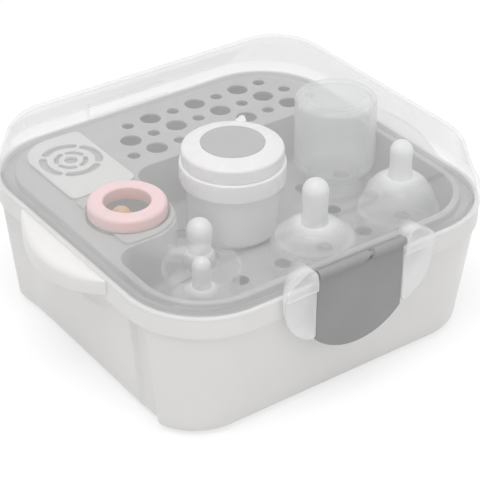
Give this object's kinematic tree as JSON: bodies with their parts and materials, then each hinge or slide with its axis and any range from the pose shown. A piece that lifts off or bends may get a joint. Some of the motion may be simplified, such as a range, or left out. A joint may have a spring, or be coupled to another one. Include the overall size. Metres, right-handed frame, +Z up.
{
  "type": "microwave sterilizer",
  "caption": "Microwave steam sterilizer: white tub with side grips, hanging rack, clear lift-off lid held by a front latch, loaded with feeding things.",
  "frame": {"origin": "on the floor, below the middle of the tub", "axes": "+Z up, -Y towards the front with the latch of the picture, +X to the right seen from the front"},
  "size_m": [0.3176, 0.2898, 0.148],
  "materials": {
    "white_plastic": "satin white polypropylene",
    "rack_grey_plastic": "satin mid grey",
    "pale_grey_plastic": "satin pale grey",
    "clear_plastic": "clear, faintly milky",
    "latch_grey_plastic": "fine texture, grey",
    "cap_white_plastic": "gloss white",
    "disc_grey_plastic": "satin grey, bare",
    "pink_plastic": "satin pink",
    "latex": "amber latex",
    "silicone": "whitish translucent silicone"
  },
  "bodies": {
    "tub": {"base_tub": "white_plastic", "rack": "rack_grey_plastic", "parts_tray": "pale_grey_plastic", "jar_body": "clear_plastic", "jar_collar": "cap_white_plastic", "jar_cap": "cap_white_plastic", "jar_disc": "disc_grey_plastic", "feeding_bottle": "clear_plastic", "pink_screw_ring": "pink_plastic", "ring_cup": "clear_plastic", "latex_teat": "latex", "front_cup": "clear_plastic", "front_teat": "silicone", "short_teat": "silicone", "tall_teat_hood": "clear_plastic", "tall_teat": "silicone", "wide_teat_hood": "clear_plastic", "wide_teat": "silicone"},
    "lid": {"lid": "clear_plastic"},
    "front_latch": {"latch_front": "latch_grey_plastic"}
  },
  "joints": [
    {"name": "lid_lift", "type": "slide", "parent": "tub", "child": "lid", "axis": [0, 0, 1], "range_m": [0, 0.09]},
    {"name": "front_latch_hinge", "type": "hinge", "parent": "lid", "child": "front_latch", "pos_m": [0, -0.1417, 0.1148], "axis": [-1, 0, 0], "range_deg": [0, 120]}
  ]
}
